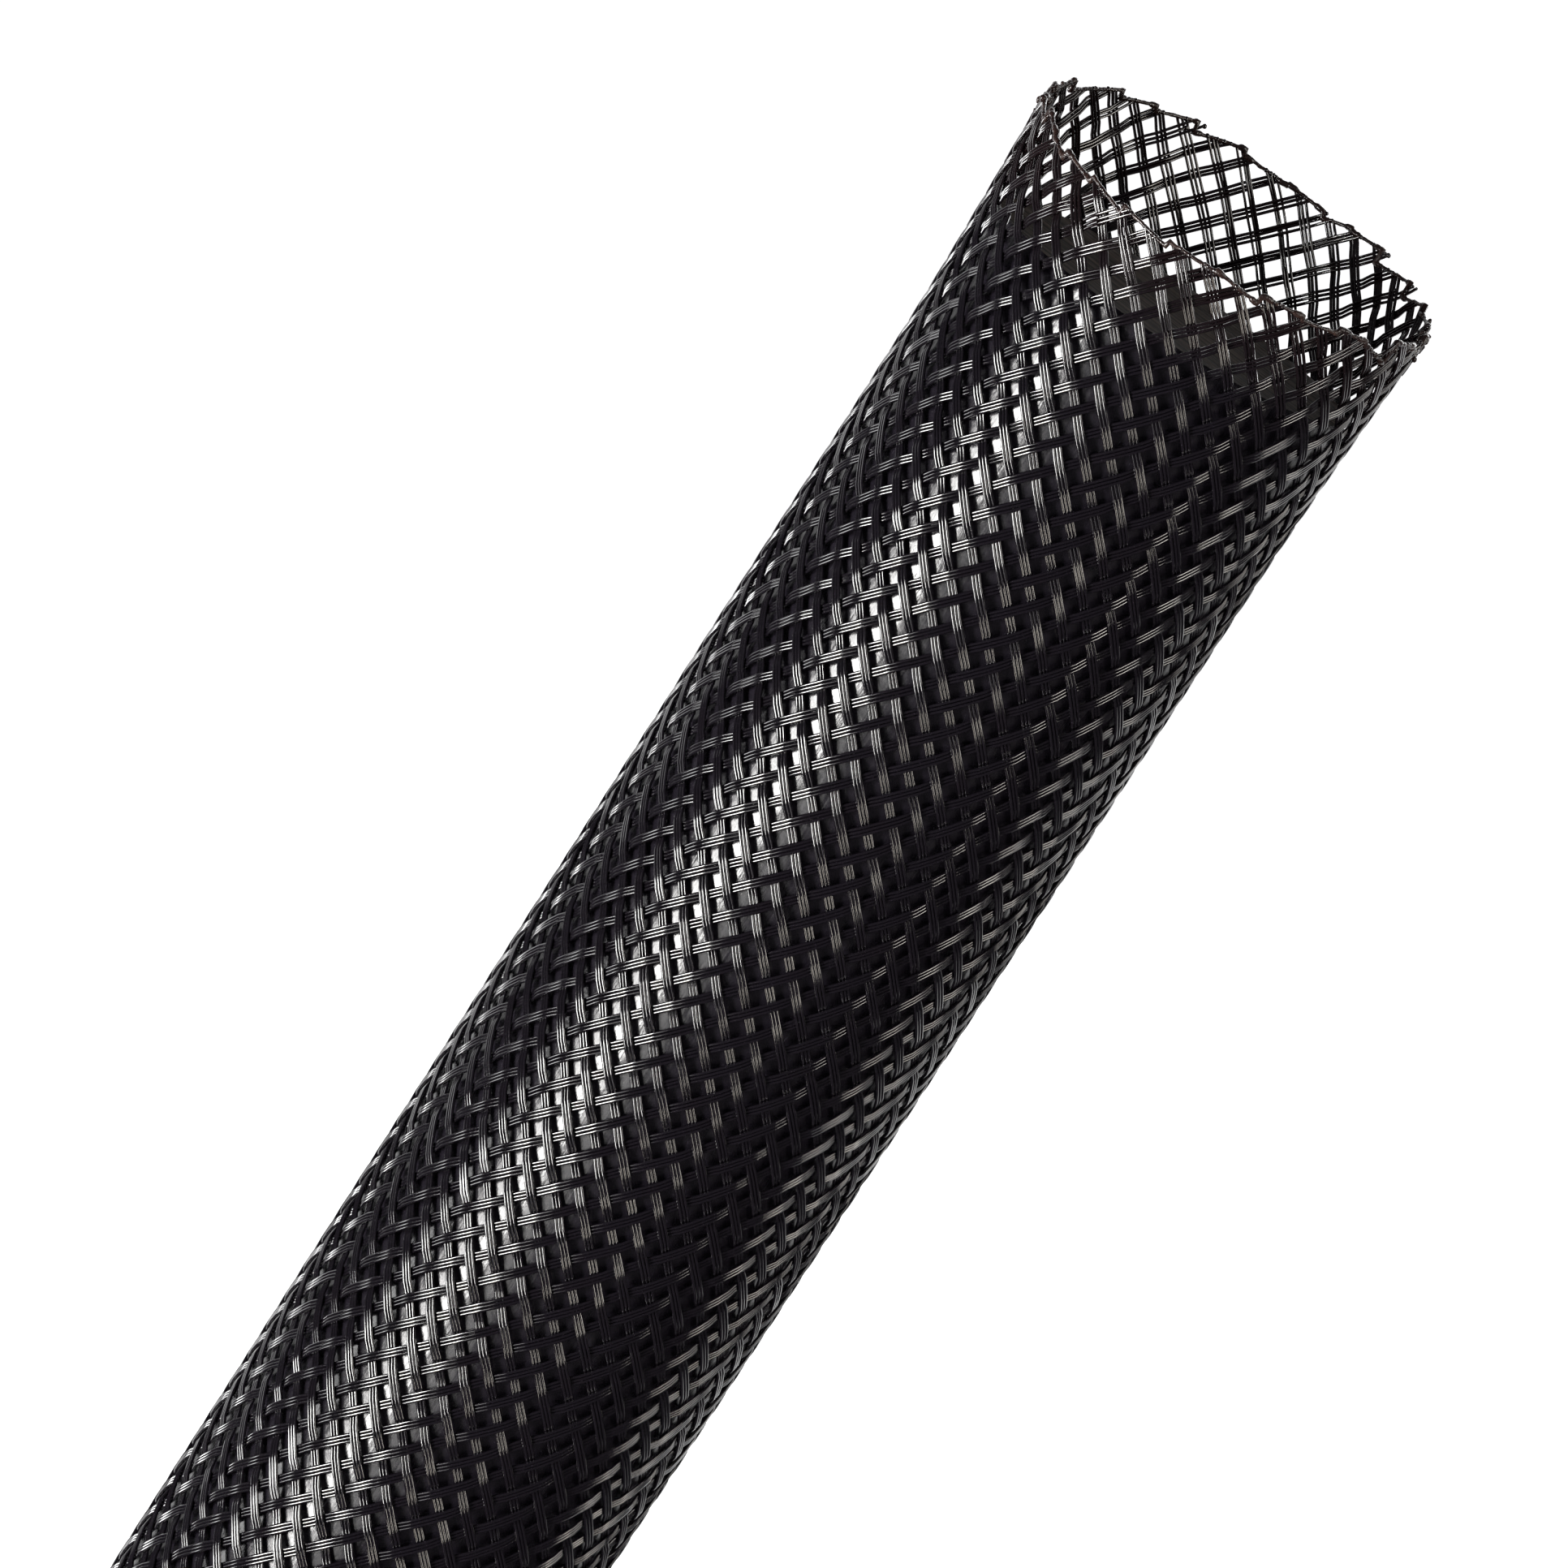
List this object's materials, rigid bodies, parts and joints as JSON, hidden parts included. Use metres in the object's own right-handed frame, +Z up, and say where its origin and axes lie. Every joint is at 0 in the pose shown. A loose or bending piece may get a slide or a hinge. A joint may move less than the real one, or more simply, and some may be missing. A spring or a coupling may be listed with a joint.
{
  "type": "braided cable sleeve",
  "caption": "Open braid of black monofilament drawn over a solid round plastic rod, its mouth cut slightly out of square and opened a little past the rod's sawn end.",
  "frame": {"origin": "centre of the rod's sawn foot, on the floor that it stands on", "axes": "+Z up along the sleeve towards its open mouth, -Y towards the side where the slanted mouth is lowest"},
  "size_m": [0.034, 0.034, 0.3048],
  "materials": {
    "black_filament": "smooth black extruded monofilament with a soft sheen",
    "black_rod": "black rod with a glossy, lightly scuffed side and dull grey sawn ends"
  },
  "bodies": {
    "root": {"braided_sleeve": "black_filament", "core_rod": "black_rod"}
  },
  "joints": []
}
